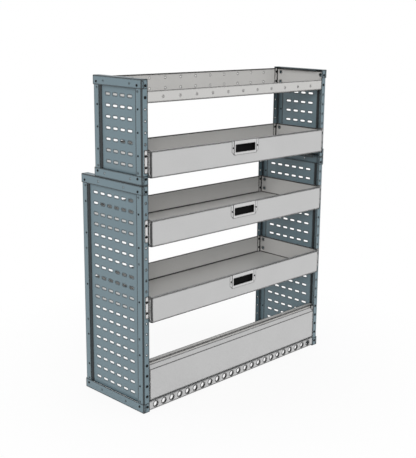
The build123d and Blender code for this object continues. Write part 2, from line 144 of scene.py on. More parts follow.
def edge_shade_mask(tree, reach):
    """How near a point lies to a sharp edge, from 0 on the flat to 1 at the edge; it places painted
    shade.
    """
    rounded = add_node(tree, "ShaderNodeBevel", {"Radius": reach}, samples=edge_samples)
    real = add_node(tree, "ShaderNodeNewGeometry")
    turn = add_node(tree, "ShaderNodeVectorMath", None,
                    {0: rounded.outputs["Normal"], 1: real.outputs["Normal"]},
                    operation="DOT_PRODUCT")
    near = add_node(tree, "ShaderNodeMapRange",
                    {"From Min": edge_starts, "From Max": edge_full, "To Max": 1},
                    {"Value": turn.outputs["Value"]})
    return near.outputs["Result"]


def bend_shade_mask(tree):
    """Painted shade on bends: how far the surface has turned from flat, up to bend_shade_strength. A
    flat that leans at 45 degrees, such as the flap's grip, counts as flat."""
    normal = add_node(tree, "ShaderNodeTexCoord").outputs["Normal"]
    facing = add_node(tree, "ShaderNodeVectorMath", None, {0: normal}, operation="ABSOLUTE")
    across = add_node(tree, "ShaderNodeSeparateXYZ", None, {"Vector": facing.outputs["Vector"]})
    level = add_node(tree, "ShaderNodeMath", None,
                     {0: across.outputs["X"], 1: across.outputs["Y"]}, operation="MAXIMUM")
    flat = add_node(tree, "ShaderNodeMath", None,
                    {0: level.outputs["Value"], 1: across.outputs["Z"]}, operation="MAXIMUM")
    bend = add_node(tree, "ShaderNodeMapRange",
                    {"From Min": bend_starts, "From Max": bend_full, "To Max": bend_shade_strength},
                    {"Value": flat.outputs["Value"]})
    leaning = add_node(tree, "ShaderNodeMath", {1: math.sqrt(0.5), 2: lean_margin},
                       {0: flat.outputs["Value"]}, operation="COMPARE")
    turned = add_node(tree, "ShaderNodeMath", None,
                      {0: bend.outputs["Result"], 1: leaning.outputs["Value"]},
                      operation="SUBTRACT")
    return turned.outputs["Value"]


def powder_coat(name, paint, coat_shade_colour, roughness):
    """Baked polyester powder coat: a satin film with orange peel and faint clouds, which gives a soft
    sheen, with painted shade as a dark line along sharp edges and bends."""
    material, tree = new_material(name)
    shader = tree.nodes["Principled BSDF"]
    shade = mottle(tree, coat_cloud, 3, 1 - coat_cloud_tone, 1 + coat_cloud_tone)[1]
    peel, speck = mottle(tree, coat_peel, 2, 1 - coat_peel_tone, 1 + coat_peel_tone)
    clouded = add_node(tree, "ShaderNodeVectorMath", {0: linear(paint)[:3]}, {1: shade},
                       operation="MULTIPLY")
    toned = add_node(tree, "ShaderNodeVectorMath", None, {0: clouded.outputs["Vector"], 1: speck},
                     operation="MULTIPLY")
    # painted shade: edges and bends are mixed towards the dark shade colour
    edge_and_bend_shade = add_node(tree, "ShaderNodeMath", None,
                    {0: edge_shade_mask(tree, edge_shade_reach), 1: bend_shade_mask(tree)}, operation="MAXIMUM")
    mix = add_node(tree, "ShaderNodeMix", {7: linear(coat_shade_colour)},
                   {0: edge_and_bend_shade.outputs["Value"], 6: toned.outputs["Vector"]}, data_type="RGBA")
    tree.links.new(mix.outputs[2], shader.inputs["Base Color"])
    gloss = add_node(tree, "ShaderNodeMapRange",
                     {"To Min": roughness - coat_peel_gloss, "To Max": roughness + coat_peel_gloss},
                     {"Value": peel})
    tree.links.new(gloss.outputs["Result"], shader.inputs["Roughness"])
    bump = add_node(tree, "ShaderNodeBump",
                    {"Strength": coat_peel_strength, "Distance": coat_peel_height}, {"Height": peel})
    tree.links.new(bump.outputs["Normal"], shader.inputs["Normal"])
    return material


def only(piece):
    """Leave one piece selected and active."""
    bpy.ops.object.select_all(action="DESELECT")
    piece.select_set(True)
    bpy.context.view_layer.objects.active = piece


def pick(piece, kind, wanted):
    """In edit mode, select the VERT, EDGE or FACE elements that the test accepts."""
    bpy.ops.mesh.select_mode(type=kind)
    bpy.ops.mesh.select_all(action="DESELECT")
    cage = bmesh.from_edit_mesh(piece.data)
    for part in {"VERT": cage.verts, "EDGE": cage.edges, "FACE": cage.faces}[kind]:
        if wanted(part):
            part.select_set(True)
    bmesh.update_edit_mesh(piece.data)


def middle_of(part):
    """The middle of an edge or a face."""
    return sum((point.co for point in part.verts), Vector()) / len(part.verts)


def round_edges(piece, width, steps, wanted):
    """Round the edges that the test accepts, or cut them off with one step."""
    bpy.ops.object.mode_set(mode="EDIT")
    pick(piece, "EDGE", wanted)
    bpy.ops.mesh.bevel(offset=width, segments=steps, affect="EDGES")
    bpy.ops.object.mode_set(mode="OBJECT")


def end_of(low, high, side):
    """The x of a box's end on one side: -1 left, 1 right."""
    return low.x if side < 0 else high.x


def apply_all(piece):
    """Apply a piece's modifiers in their order."""
    only(piece)
    for modifier in list(piece.modifiers):
        bpy.ops.object.modifier_apply(modifier=modifier.name)


def thicken(piece, sheet, offset=-1, even=False):
    """Give a surface its sheet's thickness: inwards, or half to each side with offset 0."""
    wall = piece.modifiers.new("sheet", "SOLIDIFY")
    wall.thickness = sheet
    wall.offset = offset
    if even:
        wall.use_even_offset = True
    apply_all(piece)


def folded_sheet(name, course, run, sheet, bend, steps=post_bend_steps):
    """Sheet metal folded along a course of points: a strip drawn out edge by edge and thickened."""
    points = [Vector(p) for p in course]
    run = Vector(run)
    leg = points[1] - points[0]
    bpy.ops.mesh.primitive_plane_add(size=1)
    piece = bpy.context.object
    piece.name = name
    axes = Matrix((run, leg, run.cross(leg).normalized())).transposed().to_4x4()
    piece.matrix_world = Matrix.Translation((points[0] + points[1] + run) / 2) @ axes
    bpy.ops.object.transform_apply(location=True, rotation=True, scale=True)
    bpy.ops.object.mode_set(mode="EDIT")
    pick(piece, "EDGE", lambda edge: (middle_of(edge) - points[1] - run / 2).length < touching)
    for before, after in zip(points[1:], points[2:]):
        bpy.ops.mesh.extrude_region_move(TRANSFORM_OT_translate={"value": after - before})
    bpy.ops.object.mode_set(mode="OBJECT")
    folds = [p + run / 2 for p in points[1:-1]]
    if bend > 0:
        round_edges(piece, bend, steps,
                    lambda edge: any((middle_of(edge) - fold).length < touching for fold in folds))
    thicken(piece, sheet, offset=0, even=True)
    return piece


def repeat(piece, count, step):
    """Repeat a piece in a straight row."""
    if count > 1:
        row = piece.modifiers.new("row", "ARRAY")
        row.count = count
        row.use_relative_offset = False
        row.use_constant_offset = True
        row.constant_offset_displace = step
        apply_all(piece)


def punch(place, along, width, depth, steps=hole_steps):
    """A round punch with its middle at a place, pointing along an axis."""
    turn = Vector(along).to_track_quat("Z", "Y").to_euler()
    bpy.ops.mesh.primitive_cylinder_add(
        vertices=steps, radius=width / 2, depth=depth, location=place, rotation=turn)
    bpy.ops.object.transform_apply(location=True, rotation=True, scale=True)
    return bpy.context.object


def combine(piece, other, operation):
    """Add another solid to a piece, or take it away. The other one is used up."""
    boolean = piece.modifiers.new("solid", "BOOLEAN")
    boolean.operation = operation
    boolean.solver = "EXACT"
    boolean.object = other
    apply_all(piece)
    bpy.data.objects.remove(other)


def cut(piece, cutter):
    """Take a cutter's solid out of a piece."""
    combine(piece, cutter, "DIFFERENCE")


def join(pieces, name=None):
    """Make one object of several, under the first one's name or a new one."""
    bpy.ops.object.select_all(action="DESELECT")
    for piece in pieces:
        piece.select_set(True)
    bpy.context.view_layer.objects.active = pieces[0]
    bpy.ops.object.join()
    if name:
        pieces[0].name = name
    return pieces[0]


def finish_piece(piece, body, slot, material, *nodes):
    """Give a piece its finish and smooth bends, and let it stand for its nodes."""
    only(piece)
    bpy.ops.object.mode_set(mode="EDIT")
    bpy.ops.mesh.select_all(action="SELECT")
    bpy.ops.mesh.normals_make_consistent(inside=False)
    bpy.ops.object.mode_set(mode="OBJECT")
    bpy.ops.object.shade_smooth_by_angle(angle=smooth_below)
    level = piece.modifiers.new("flat faces", "WEIGHTED_NORMAL")
    level.keep_sharp = True
    apply_all(piece)
    piece.data.materials.clear()
    piece.data.materials.append(material)
    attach(piece, body)
    if nodes:
        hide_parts(*nodes)


post_paint = powder_coat(
    "powder coated steel, satin blue-grey", blue_grey_paint, blue_grey_shade_line, roughness=0.42)
sides = (("left", -1), ("right", 1))
modules = ("lower", "upper")
ends = (("front", 1), ("rear", -1))
for (word, side), module, (end, inward) in product(sides, modules, ends):
    node = f"{word}_{module}_{end}_post"
    low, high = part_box(node)
    outer_x = end_of(low, high, side)
    flange_y = (low.y if inward > 0 else high.y) + inward * post_sheet / 2
    web_x = outer_x - side * post_sheet / 2
    tip_y = flange_y + inward * (post_side_flange - post_sheet / 2)
    tip_x = web_x - side * (post_face_flange - post_sheet / 2)
    post = folded_sheet(
        node + "_sheet",
        [(tip_x, flange_y, low.z), (web_x, flange_y, low.z), (web_x, tip_y, low.z)],
        (0, 0, high.z - low.z), post_sheet, post_bend,
    )
    first = (outer_x - side * hole_inset, flange_y, low.z - rail_sheet + end_hole)
    rows = round((high.z - low.z - 2 * (end_hole - rail_sheet)) / hole_pitch) + 1
    holes = punch(first, (0, 1, 0), hole_width, through * post_sheet)
    repeat(holes, rows, (0, 0, hole_pitch))
    cut(post, holes)
    for height in side_hole_heights[module]:
        place = (web_x, flange_y + inward * side_hole_inset, height)
        cut(post, punch(place, (1, 0, 0), side_hole_width, through * post_sheet))
    finish_piece(post, "root", "end_post", post_paint, node)

# Cap rails
# A pressed steel cap closes the top and the foot of each end frame. It wraps round the posts with a
# tab at the front and the rear, each with a mitred seam, and its inner edge is turned as a narrow lip.
rail_bend = 3 * mm
rail_bend_steps = 4
rail_lip = 8 * mm
rail_lip_gap = 4 * mm
rail_strip = 12 * mm
rail_seam = 0.8 * mm
seam_run = 2.1 * rail_sheet
rail_edge = 0.3 * mm
plain_hole_width = 4.5 * mm
plain_hole_front = {"lower": 127 * mm, "upper": 78 * mm}
plain_hole_span = {"lower": 179 * mm, "upper": 179.5 * mm}
plain_hole_drop = 22.5 * mm


def same(one, other):
    """Whether two measures are the same."""
    return abs(one - other) < touching


def open_faces(piece, wanted):
    """Take away the faces that the test accepts."""
    bpy.ops.object.mode_set(mode="EDIT")
    pick(piece, "FACE", wanted)
    bpy.ops.mesh.delete(type="FACE")
    bpy.ops.object.mode_set(mode="OBJECT")


def cube_between(name, corner, other):
    """A cube stretched between two corners, ready to be shaped."""
    corner = Vector(corner)
    other = Vector(other)
    size = [abs(v) for v in other - corner]
    bpy.ops.mesh.primitive_cube_add(size=1, location=(corner + other) / 2, scale=size)
    bpy.ops.object.transform_apply(location=True, rotation=True, scale=True)
    piece = bpy.context.object
    piece.name = name
    return piece


def soften(piece, width, steps=2, angle=40):
    """Round a piece's sharp edges a little."""
    edge = piece.modifiers.new("edge", "BEVEL")
    edge.width = width
    edge.segments = steps
    edge.limit_method = "ANGLE"
    edge.angle_limit = math.radians(angle)
    apply_all(piece)


caps = (("bottom", 1), ("top", -1))
for (word, side), module, (end, opening) in product(sides, modules, caps):
    node = f"{word}_{module}_{end}_rail"
    low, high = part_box(node)
    open_z = high.z if opening > 0 else low.z
    cap_z = low.z if opening > 0 else high.z
    outer_x = end_of(low, high, side)
    inner_x = end_of(low, high, -side)
    rail = cube_between(node + "_cap", low, high)
    open_faces(rail, lambda face: same(middle_of(face).z, open_z)
               or same(middle_of(face).x, inner_x))
    round_edges(rail, rail_bend, rail_bend_steps, lambda edge: edge.is_manifold)
    thicken(rail, rail_sheet)
    seam_x = outer_x - side * rail_strip
    for tab_y, outward in ((low.y, -1), (high.y, 1)):
        seam_y = tab_y + outward * rail_sheet
        seam = folded_sheet(
            "seam",
            [
                (outer_x, seam_y, cap_z),
                (seam_x, seam_y, cap_z + opening * rail_strip),
                (seam_x, seam_y, open_z + opening * rail_strip),
            ],
            (0, -outward * seam_run, 0), rail_seam, 0,
        )
        cut(rail, seam)
    first = (
        outer_x,
        low.y + rail_sheet + plain_hole_front[module],
        cap_z + opening * plain_hole_drop,
    )
    plain_holes = punch(first, (1, 0, 0), plain_hole_width, through * rail_sheet)
    repeat(plain_holes, 2, (0, plain_hole_span[module], 0))
    cut(rail, plain_holes)
    lip_end = post_side_flange + rail_lip_gap + rail_sheet
    lip = cube_between(
        node + "_lip",
        (inner_x, low.y + lip_end, cap_z + opening * rail_sheet / 2),
        (inner_x + side * rail_sheet, high.y - lip_end, cap_z + opening * rail_lip),
    )
    soften(lip, rail_edge)
    finish_piece(join([rail, lip]), "root", "end_rail", post_paint, node)

# Infill panels
# A thin slotted sheet fills each end frame. Its upright edges are joggled outwards behind the posts, so
# the field between them sits 10 mm deep. It ends a little way behind the caps' lower edges, and small
# black screws hold it to the posts.
infill_sheet = 1 * mm
infill_recess = 10.5 * mm
infill_lap = 30 * mm
infill_joggle = 6 * mm
infill_end = 38 * mm
infill_bend = 2 * mm
infill_bend_steps = 3
slot_length = 30 * mm
slot_height = 10 * mm
slot_pitch = 50 * mm
slot_counts = {"lower": (19, 6), "upper": (7, 4)}


def shift(piece, kind, move, wanted):
    """Move the VERT or EDGE elements that the test accepts, and the faces with them."""
    bpy.ops.object.mode_set(mode="EDIT")
    pick(piece, kind, wanted)
    bpy.ops.transform.translate(value=move)
    bpy.ops.object.mode_set(mode="OBJECT")


for (word, side), module in product(sides, modules):
    node = f"{word}_{module}_infill"
    low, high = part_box(node)
    post_low, post_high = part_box(f"{word}_{module}_front_post")
    outer_x = end_of(post_low, post_high, side)
    edge_x = outer_x - side * (post_sheet + infill_sheet / 2)
    field_x = outer_x - side * (infill_recess + infill_sheet / 2)
    front_step = low.y + infill_lap
    back_step = high.y - infill_lap
    foot_z = post_low.z - rail_sheet + infill_end
    top_z = post_high.z + rail_sheet - infill_end
    panel = folded_sheet(
        node + "_sheet",
        [
            (edge_x, low.y, foot_z),
            (edge_x, front_step, foot_z),
            (field_x, front_step + infill_joggle, foot_z),
            (field_x, back_step - infill_joggle, foot_z),
            (edge_x, back_step, foot_z),
            (edge_x, high.y, foot_z),
        ],
        (0, 0, top_z - foot_z), infill_sheet, infill_bend, infill_bend_steps,
    )
    rows, columns = slot_counts[module]
    centre = (low + high) / 2
    first_y = centre.y - (columns - 1) * slot_pitch / 2
    first_z = centre.z - (rows - 1) * slot_pitch / 2
    slots = punch((field_x, first_y, first_z), (side, 0, 0), slot_height,
                  through * infill_sheet)
    for way in (-1, 1):
        shift(slots, "VERT", (0, way * (slot_length - slot_height) / 2, 0),
              lambda point: way * (point.co.y - first_y) > touching)
    repeat(slots, columns, (0, slot_pitch, 0))
    repeat(slots, rows, (0, 0, slot_pitch))
    cut(panel, slots)
    finish_piece(panel, "root", "infill_panel", post_paint, node)

# Shelf pans
# Each tray and the top shelf is a folded pan of thin sheet between two end walls. The top shelf has a
# punched lip at the front and two punched rows in its back wall; a tray's front edge is turned down.
shelf_sheet = 1.2 * mm
shelf_bend = 2.5 * mm
shelf_bend_steps = 4
shelf_hem = 8 * mm
shelf_edge = 0.3 * mm
shelf_floor_drop = 24 * mm
tray_front_drop = 22 * mm
top_lip_rise = 27 * mm
wall_rise = 70.5 * mm
pan_corner = 18.5 * mm
pan_corner_depth = 5.6 * mm
hem_corner_drop = 21 * mm
corner_reach = 7 * mm
shelf_hole_width = 6.6 * mm
shelf_hole_count = 11
shelf_hole_pitch = 100 * mm
access_hole_width = 14 * mm
access_hole_inset = 26 * mm
access_hole_steps = 24
shelf_paint_colour = "C0BFBD"
# painted shade: the dark colour along the light grey coat's edges and bends
shelf_shade_line = "0E0D0C"
shelf_paint = powder_coat(
    "powder coated steel, light grey", shelf_paint_colour, shelf_shade_line, roughness=0.45)

for name in ("top_shelf", "tray_1", "tray_2", "tray_3"):
    node = name + "_pan"
    low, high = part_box(node)
    front_mid = low.y + shelf_sheet / 2
    back_mid = high.y - shelf_sheet / 2
    wall_z = high.z - shelf_sheet / 2
    floor_z = high.z - wall_rise - shelf_floor_drop - shelf_sheet / 2
    is_top = name == "top_shelf"
    front_z = floor_z - tray_front_drop
    if is_top:
        front_z = floor_z + shelf_floor_drop + top_lip_rise + shelf_sheet / 2
    pan = folded_sheet(
        node + "_sheet",
        [
            (low.x, front_mid, front_z),
            (low.x, front_mid, floor_z),
            (low.x, back_mid, floor_z),
            (low.x, back_mid, wall_z),
            (low.x, back_mid - shelf_hem, wall_z),
        ],
        (high.x - low.x, 0, 0), shelf_sheet, shelf_bend, shelf_bend_steps,
    )
    for side in (-1, 1):
        end_x = end_of(low, high, side)
        corner_x = end_x - side * pan_corner
        past_x = end_x + side * corner_reach
        for edge_y, inward in ((low.y, 1), (high.y, -1)):
            cut(pan, cube_between(
                "corner",
                (corner_x, edge_y - inward * corner_reach, low.z - corner_reach),
                (past_x, edge_y + inward * pan_corner_depth, high.z + corner_reach),
            ))
        cut(pan, cube_between(
            "hem_corner",
            (corner_x, high.y - 2 * shelf_hem, high.z - hem_corner_drop),
            (past_x, high.y + corner_reach, high.z + corner_reach),
        ))
    if is_top:
        first_x = -(shelf_hole_count - 1) * shelf_hole_pitch / 2
        for wall_y, lift in ((front_mid, 0), (back_mid, 0), (back_mid, hole_pitch)):
            holes = punch((first_x, wall_y, high.z - wall_rise + lift), (0, 1, 0),
                          shelf_hole_width, through * shelf_sheet)
            repeat(holes, shelf_hole_count, (shelf_hole_pitch, 0, 0))
            cut(pan, holes)
    finish_piece(pan, "root", "shelf_sheet", shelf_paint, node)

    for word, side in sides:
        node = f"{name}_{word}_end"
        low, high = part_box(node)
        wall_x = end_of(low, high, side) - side * shelf_sheet / 2
        tab_x = end_of(low, high, -side)
        front_mid = low.y + shelf_sheet / 2
        back_mid = high.y - shelf_sheet / 2
        wall = folded_sheet(
            node + "_sheet",
            [
                (tab_x, front_mid, low.z),
                (wall_x, front_mid, low.z),
                (wall_x, back_mid, low.z),
                (tab_x, back_mid, low.z),
            ],
            (0, 0, high.z - low.z), shelf_sheet, shelf_bend, shelf_bend_steps,
        )
        bolt_z = high.z - wall_rise
        back_hole_y = high.y - access_hole_inset
        places = [(back_hole_y, bolt_z), (back_hole_y, bolt_z + hole_pitch)]
        if is_top:
            places.append((low.y + access_hole_inset, bolt_z + hole_pitch))
        for place_y, place_z in places:
            cut(wall, punch((wall_x, place_y, place_z), (1, 0, 0), access_hole_width,
                            through * shelf_sheet, access_hole_steps))
        hem = cube_between(
            node + "_hem",
            (wall_x, low.y + corner_reach, high.z - shelf_sheet),
            (wall_x - side * shelf_hem, high.y - corner_reach, high.z),
        )
        foot = cube_between(
            node + "_foot",
            (wall_x, low.y + corner_reach, low.z),
            (tab_x, high.y - corner_reach, low.z + shelf_sheet),
        )
        soften(hem, shelf_edge)
        soften(foot, shelf_edge)
        finish_piece(join([wall, hem, foot]), "root", "shelf_sheet", shelf_paint, node)

# Drop-front doors
# A door is a shallow folded pan, open at the back, with rounded ends. Its end flanges are cut back
# between the ear that takes the catch and the ear that turns on the pivot pin.
door_sheet = 1.2 * mm
door_bend = 6 * mm
door_bend_steps = 7
door_edge_bend = 1.5 * mm
door_edge_steps = 3
door_above = 71 * mm
ear_top = 57 * mm
ear_bottom = 10 * mm
ear_cut = 9 * mm
ear_gap_depth = 3 * door_sheet
pivot_back = 10.5 * mm
pivot_drop = 37.5 * mm
pivot_radius = 3 * mm
pivot_hole_width = 6.3 * mm
pivot_steps = 24
handle_width = 137 * mm
handle_bottom = 14.5 * mm
handle_top = 53.3 * mm
door_paint_colour = "B9B9B9"
# painted shade: the dark colour along the pale grey coat's edges and bends
door_shade_line = "0C0C0C"
door_paint = powder_coat(
    "powder coated steel, pale grey front", door_paint_colour, door_shade_line, roughness=0.4)
front_face_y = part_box("left_lower_front_post")[0].y


def runs(edge, axis):
    """Whether an edge's ends lie apart along an axis."""
    return not same(*(getattr(point.co, axis) for point in edge.verts))


for number in (1, 2, 3):
    node = f"door_{number}_panel"
    low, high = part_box(node)
    bolt_z = high.z - door_above
    door = cube_between(node + "_sheet", low, high)
    open_faces(door, lambda face: same(middle_of(face).y, high.y))
    round_edges(door, door_bend, door_bend_steps,
                lambda edge: edge.is_manifold and runs(edge, "z"))
    round_edges(door, door_edge_bend, door_edge_steps,
                lambda edge: edge.is_manifold and not runs(edge, "y") and not runs(edge, "z")
                and same(middle_of(edge).y, low.y))
    thicken(door, door_sheet)
    for side in (-1, 1):
        end_x = end_of(low, high, side)
        cut(door, cube_between(
            "ear_gap",
            (end_x - side * ear_gap_depth, high.y - ear_cut, bolt_z - ear_bottom),
            (end_x + side * door_sheet, high.y + door_sheet, bolt_z + ear_top),
        ))
        pivot_place = (end_x, front_face_y - pivot_back, bolt_z - pivot_drop)
        cut(door, punch(pivot_place, (1, 0, 0), pivot_hole_width, through * door_sheet,
                        pivot_steps))
    cut(door, cube_between(
        "handle_opening",
        (-handle_width / 2, low.y - door_sheet, bolt_z + handle_bottom),
        (handle_width / 2, low.y + 2 * door_sheet, bolt_z + handle_top),
    ))
    finish_piece(door, f"door_{number}", "door_sheet", door_paint, node)

# Recessed handles
# A pale anodised frame stands on the door round a black moulded finger cup, from the door's top edge
# down to a narrow strip. Its thin wings carry one small dark screw each.
bezel_width = 184 * mm
bezel_wing_sheet = 1 * mm
bezel_collar_width = 154 * mm
bezel_edge = 0.4 * mm
window_corner = 3 * mm
window_steps = 4
cup_sheet = 1.5 * mm
cup_lean = 9 * mm
cup_round = 4 * mm
cup_round_steps = 5
handle_screw_side = 83 * mm
handle_screw_rise = 37 * mm
handle_screw_width = 8.5 * mm
handle_screw_height = 1.6 * mm
handle_screw_steps = 20
drive_half_length = handle_screw_width / 3
drive_half_width = handle_screw_width / 12

# The metals' matt grain is under 0.1 mm and is drawn at 3 mm, and the plastic's at 1.5 mm, so that
# they show.
frame_metal_colour = "CBCBCB"
# painted shade: the dark colour along the frame's sharp edges
frame_metal_shade_line = "141414"
black_colour = "090A0B"
metal_share = 0.6
# painted shade: how far from a sharp edge the metal is darkened
metal_shade_reach = 5 * mm
metal_grain = 3 * mm
metal_grain_gloss = 0.06
metal_grain_tones = (0.92, 1.04)
cup_colour = "0A0A0B"
plastic_gloss = 0.1
plastic_grain = 1.5 * mm
plastic_grain_tones = (0.8, 1.25)
plastic_grain_height = 0.15 * mm
plastic_grain_strength = 0.4


def satin_metal(name, colour, metal_shade_colour, roughness):
    """Anodised or plated metal: a fine matt grain gives a soft gleam, and painted shade darkens its
    sharp edges.
    """
    material, tree = new_material(name)
    shader = tree.nodes["Principled BSDF"]
    shader.inputs["Metallic"].default_value = metal_share
    grain, shade = mottle(tree, metal_grain, 3, *metal_grain_tones)
    toned = add_node(tree, "ShaderNodeVectorMath", {0: linear(colour)[:3]}, {1: shade},
                     operation="MULTIPLY")
    # painted shade: sharp edges are mixed towards the dark shade colour
    mix = add_node(tree, "ShaderNodeMix", {7: linear(metal_shade_colour)},
                   {0: edge_shade_mask(tree, metal_shade_reach), 6: toned.outputs["Vector"]}, data_type="RGBA")
    tree.links.new(mix.outputs[2], shader.inputs["Base Color"])
    gloss = add_node(
        tree, "ShaderNodeMapRange",
        {"To Min": roughness - metal_grain_gloss, "To Max": roughness + metal_grain_gloss},
        {"Value": grain})
    tree.links.new(gloss.outputs["Result"], shader.inputs["Roughness"])
    return material


def moulded_plastic(name, colour, roughness):
    """Moulded plastic with a spark-eroded grain, which leaves it matt and evenly dark."""
    material, tree = new_material(name)
    shader = tree.nodes["Principled BSDF"]
    grain, shade = mottle(tree, plastic_grain, 4, *plastic_grain_tones)
    toned = add_node(tree, "ShaderNodeVectorMath", {0: linear(colour)[:3]}, {1: shade},
                     operation="MULTIPLY")
    tree.links.new(toned.outputs["Vector"], shader.inputs["Base Color"])
    shader.inputs["Roughness"].default_value = roughness
    shader.inputs["Specular IOR Level"].default_value = plastic_gloss
    bump = add_node(tree, "ShaderNodeBump",
                    {"Strength": plastic_grain_strength, "Distance": plastic_grain_height},
                    {"Height": grain})
    tree.links.new(bump.outputs["Normal"], shader.inputs["Normal"])
    return material


frame_metal = satin_metal(
    "anodised aluminium, satin", frame_metal_colour, frame_metal_shade_line, roughness=0.38)
cup_plastic = moulded_plastic("moulded polypropylene, black", cup_colour, roughness=0.75)
black_steel = satin_metal("black passivated steel", black_colour, black_colour, roughness=0.45)

for number in (1, 2, 3):
    body = f"door_{number}"
    node = f"door_{number}_handle_frame"
    low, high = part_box(node)
    bolt_z = high.z - door_above
    wing_y = high.y - bezel_wing_sheet
    wings = cube_between(node + "_plate", (low.x, wing_y, low.z), high)
    round_edges(wings, (bezel_width - bezel_collar_width) / 2, 1,
                lambda edge: runs(edge, "y") and same(middle_of(edge).z, low.z))
    collar = cube_between(
        node + "_collar",
        (-bezel_collar_width / 2, low.y, low.z),
        (bezel_collar_width / 2, high.y, high.z),
    )
    window_x = handle_width / 2 - cup_sheet
    for sheet_piece in (wings, collar):
        window = cube_between(
            "window",
            (-window_x, low.y - cup_sheet, bolt_z + handle_bottom + cup_sheet),
            (window_x, high.y + cup_sheet, bolt_z + handle_top - cup_sheet),
        )
        round_edges(window, window_corner, window_steps, lambda edge: runs(edge, "y"))
        cut(sheet_piece, window)
        soften(sheet_piece, bezel_edge)
    finish_piece(join([wings, collar]), body, "handle_frame", frame_metal, node)

    node = f"door_{number}_handle_cup"
    low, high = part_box(node)
    cup = cube_between(node + "_shell", low, high)
    shift(cup, "EDGE", (0, -cup_lean, 0),
          lambda edge: same(middle_of(edge).y, high.y) and same(middle_of(edge).z, low.z))
    open_faces(cup, lambda face: same(middle_of(face).y, low.y))
    round_edges(cup, cup_round, cup_round_steps, lambda edge: edge.is_manifold)
    thicken(cup, cup_sheet)
    finish_piece(cup, body, "handle_cup", cup_plastic, node)

    heads = []
    for side in (-1, 1):
        place = Vector((side * handle_screw_side, wing_y - handle_screw_height / 2,
                        bolt_z + handle_screw_rise))
        head = punch(place, (0, -1, 0), handle_screw_width, handle_screw_height,
                     handle_screw_steps)
        soften(head, handle_screw_height / 3, steps=3)
        cut(head, cube_between(
            "drive",
            place - Vector((drive_half_length, handle_screw_height, drive_half_width)),
            place + Vector((drive_half_length, 0, drive_half_width)),
        ))
        heads.append(head)
    heads = join(heads, f"door_{number}_handle_screws")
    finish_piece(heads, body, "black_screw", black_steel)

# Hinge brackets, pivot pins and catches
# Each door turns between two L brackets screwed to the front posts. A leg beside the door's end has a
# rounded foot for the pivot pin and a small stud near its top that the door's ear snaps over.
bracket_sheet = 2 * mm
bracket_above = 77 * mm
bracket_below = 27 * mm
bracket_corner = 5 * mm
bracket_corner_steps = 5
bracket_leg_steps = 2
bracket_bend = 2.5 * mm
bracket_bend_steps = 4
bracket_edge = 0.3 * mm
leg_gap = 0.8 * mm
leg_depth = 14 * mm
foot_radius = 6.5 * mm
foot_steps = 32
pin_edge = 0.4 * mm
pin_head_width = 10 * mm
pin_head = 2.5 * mm
pin_head_steps = 28
pin_head_edge = 0.7 * mm
pin_reach = 2 * mm
catch_back = 9 * mm
catch_height = 67 * mm
stud_width = 4 * mm
stud_height = 0.5 * mm
stud_steps = 20
stud_edge = 0.2 * mm
nut_width = 6 * mm
nut_height = 2 * mm
nut_edge = 0.3 * mm
bracket_colour = "CFCFCF"
# painted shade: the dark colour along the near white coat's edges and bends
bracket_shade_line = "0E0E0E"
zinc_colour = "9A9B9D"
# painted shade: the dark colour along the zinc's sharp edges
zinc_shade_line = "3C3D3E"
bracket_paint = powder_coat(
    "powder coated steel, near white", bracket_colour, bracket_shade_line, roughness=0.42)
zinc = satin_metal("zinc plated steel", zinc_colour, zinc_shade_line, roughness=0.35)

pins = []
catches = []
for number in (1, 2, 3):
    node = f"door_{number}_brackets"
    low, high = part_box(node)
    bolt_z = high.z - bracket_above
    panel_low, panel_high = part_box(f"door_{number}_panel")
    pair = []
    for side in (-1, 1):
        outer_x = end_of(low, high, side)
        leg_x = end_of(panel_low, panel_high, side) + side * (leg_gap + bracket_sheet / 2)
        flange_y = front_face_y - bracket_sheet / 2
        leg_y = front_face_y - leg_depth
        foot_z = bolt_z - bracket_below
        bracket = folded_sheet(
            node + "_angle",
            [(outer_x, flange_y, foot_z), (leg_x, flange_y, foot_z), (leg_x, leg_y, foot_z)],
            (0, 0, bracket_above + bracket_below), bracket_sheet, bracket_bend, bracket_bend_steps,
        )
        round_edges(bracket, bracket_corner, bracket_corner_steps,
                    lambda edge: same(middle_of(edge).x, outer_x) and runs(edge, "y"))
        round_edges(bracket, bracket_corner, bracket_leg_steps,
                    lambda edge: same(middle_of(edge).y, leg_y) and runs(edge, "x")
                    and same(middle_of(edge).z, high.z))
        pivot_y = front_face_y - pivot_back
        pivot_z = bolt_z - pivot_drop
        foot = punch((leg_x, pivot_y, pivot_z), (1, 0, 0), 2 * foot_radius, bracket_sheet,
                     foot_steps)
        shift(foot, "VERT", (0, 0, pivot_drop - bracket_below),
              lambda point: point.co.z > pivot_z + touching)
        combine(bracket, foot, "UNION")
        soften(bracket, bracket_edge, steps=1)
        pair.append(bracket)

        pin_inner = leg_x - side * (bracket_sheet / 2 + leg_gap + door_sheet + pin_reach)
        pin_outer = leg_x + side * bracket_sheet / 2
        shank = punch(((pin_inner + pin_outer) / 2, pivot_y, pivot_z), (1, 0, 0),
                      2 * pivot_radius, abs(pin_outer - pin_inner), pivot_steps)
        soften(shank, pin_edge)
        head = punch((pin_outer + side * pin_head / 2, pivot_y, pivot_z), (1, 0, 0),
                     pin_head_width, pin_head, pin_head_steps)
        soften(head, pin_head_edge, steps=3)
        pins += [shank, head]
        catch_y = front_face_y - catch_back
        catch_z = bolt_z + catch_height
        stud_x = leg_x - side * (bracket_sheet + stud_height) / 2
        stud = punch((stud_x, catch_y, catch_z), (1, 0, 0), stud_width, stud_height, stud_steps)
        soften(stud, stud_edge)
        nut = punch((pin_outer + side * nut_height / 2, catch_y, catch_z), (1, 0, 0),
                    nut_width, nut_height, 6)
        soften(nut, nut_edge)
        catches += [stud, nut]
    finish_piece(join(pair, node + "_pair"), "root", "bracket", bracket_paint, node)
finish_piece(join(pins, "pivot_pin_set"), "root", "zinc_pin", zinc, "pivot_pins")
